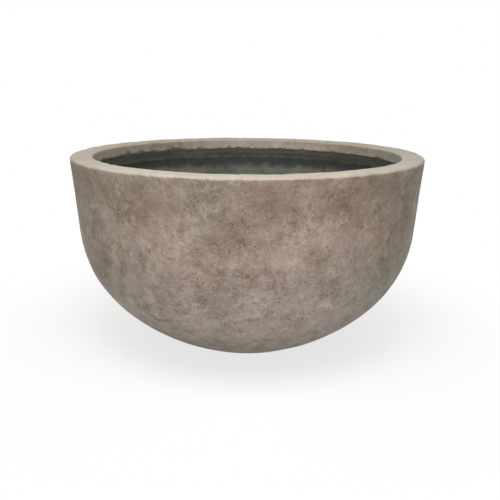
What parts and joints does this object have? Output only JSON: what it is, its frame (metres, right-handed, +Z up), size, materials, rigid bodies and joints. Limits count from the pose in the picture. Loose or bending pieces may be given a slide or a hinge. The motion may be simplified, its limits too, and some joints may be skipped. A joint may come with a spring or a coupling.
{
  "type": "concrete bowl planter",
  "caption": "Round bowl planter in pitted concrete, with a wide flat rim that overhangs a dark coated inside and a rubber bung in the drain hole.",
  "frame": {"origin": "on the ground, at the middle of the foot ring, on the axis of the bowl", "axes": "+Z up along the axis of the bowl; the bowl is round, and +Y runs away from the viewer in the reference view"},
  "size_m": [0.5, 0.5, 0.273],
  "materials": {
    "concrete_face": "dry matt cement, warm grey, clouded, with fine sand grain and scattered pinholes",
    "fibre_laminate": "rough grey fibre cement",
    "rim_mortar": "rough grey mortar",
    "seal_coat": "matt charcoal waterproof coat, brushed on",
    "bung_rubber": "satin black moulded rubber"
  },
  "bodies": {
    "bowl": {"face_shell": "concrete_face", "fibre_laminate": "fibre_laminate", "rim_core": "rim_mortar", "seal_coat": "seal_coat"},
    "plug": {"drain_plug": "bung_rubber"}
  },
  "joints": [
    {"name": "drain_plug_pull", "type": "slide", "parent": "bowl", "child": "plug", "axis": [0, 0, 1], "range_m": [0, 0.29]}
  ]
}
